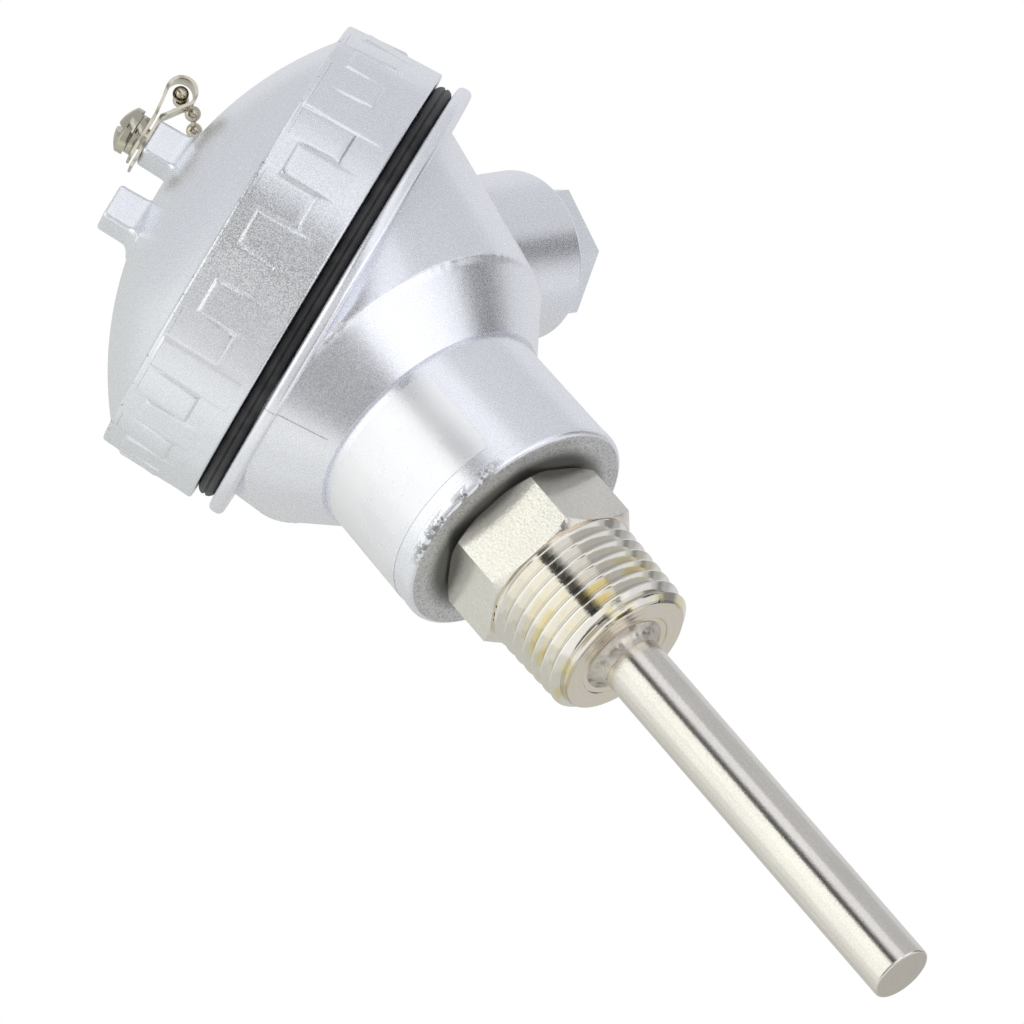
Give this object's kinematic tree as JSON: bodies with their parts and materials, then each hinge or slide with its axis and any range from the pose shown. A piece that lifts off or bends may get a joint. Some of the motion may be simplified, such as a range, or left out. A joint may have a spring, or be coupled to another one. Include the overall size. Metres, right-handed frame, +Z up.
{
  "type": "rtd probe with head",
  "caption": "Resistance temperature probe: a closed metal sheath under a taper-threaded hexagon fitting, carried by a die-cast connection head with a chained screw cap and a side cable gland.",
  "frame": {"origin": "on the probe's axis, in the plane where the hexagon meets the taper thread", "axes": "+Z up the probe's axis, away from the process; +X along the cable entry, out of the head; the cap leans towards -X"},
  "size_m": [0.0755, 0.062, 0.1551],
  "materials": {
    "stainless_turned": "turned stainless with a warm tint",
    "stainless_tube": "satin drawn tube",
    "weld_bead": "dull fused bead",
    "element_ceramic": "white alumina",
    "filling_powder": "packed magnesia powder",
    "lead_red": "red fluoropolymer sleeve",
    "lead_white": "white fluoropolymer sleeve",
    "head_paint": "silver metallic paint on a die casting",
    "label_film": "thin translucent white film",
    "block_ceramic": "glazed white ceramic",
    "terminal_brass": "machined brass",
    "nickel_hardware": "nickel plate",
    "grommet_rubber": "black rubber",
    "gland_paint": "silver metallic paint",
    "gasket_rubber": "black rubber",
    "cap_paint": "silver metallic paint on a die casting",
    "chain_nickel": "nickel plate with a warm tint"
  },
  "bodies": {
    "head": {"process_fitting": "stainless_turned", "sheath": "stainless_tube", "sheath_weld": "weld_bead", "rtd_element": "element_ceramic", "tip_filling": "filling_powder", "lead_insulator": "element_ceramic", "lead_wire_1": "lead_red", "lead_wire_2": "lead_red", "lead_wire_3": "lead_white", "housing": "head_paint", "label": "label_film", "terminal_block": "block_ceramic", "terminal_1": "terminal_brass", "terminal_2": "terminal_brass", "terminal_3": "terminal_brass", "terminal_screws": "nickel_hardware", "block_screws": "nickel_hardware", "gland_grommet": "grommet_rubber", "bead_chain": "chain_nickel", "housing_strip": "chain_nickel", "housing_spring_washer": "chain_nickel", "housing_strip_screw": "chain_nickel"},
    "gasket_stage": {"gasket": "gasket_rubber"},
    "screw_cap": {"cap": "cap_paint", "cap_strip": "chain_nickel", "cap_spring_washer": "chain_nickel", "cap_strip_screw": "chain_nickel"},
    "washer_stage": {"gland_washer": "nickel_hardware"},
    "gland": {"gland_screw": "gland_paint"}
  },
  "joints": [
    {"name": "cap_lift", "type": "slide", "parent": "head", "child": "gasket_stage", "axis": [-0.5255, 0, 0.8508], "range_m": [0, 0.008], "deforming": ["bead_chain"]},
    {"name": "cap_turn", "type": "hinge", "parent": "gasket_stage", "child": "screw_cap", "pos_m": [0, 0, 0.0568], "axis": [-0.5255, 0, 0.8508], "range_deg": [0, 1440]},
    {"name": "gland_slide", "type": "slide", "parent": "head", "child": "washer_stage", "axis": [1, 0, 0], "range_m": [0, 0.006]},
    {"name": "gland_turn", "type": "hinge", "parent": "washer_stage", "child": "gland", "pos_m": [0, 0, 0.0538], "axis": [1, 0, 0], "range_deg": [0, 1440]}
  ],
  "couplings": [
    {"joint": "cap_lift", "follows": "cap_turn", "m_per_rad": 0.00031831},
    {"joint": "gland_slide", "follows": "gland_turn", "m_per_rad": 0.00023873}
  ]
}
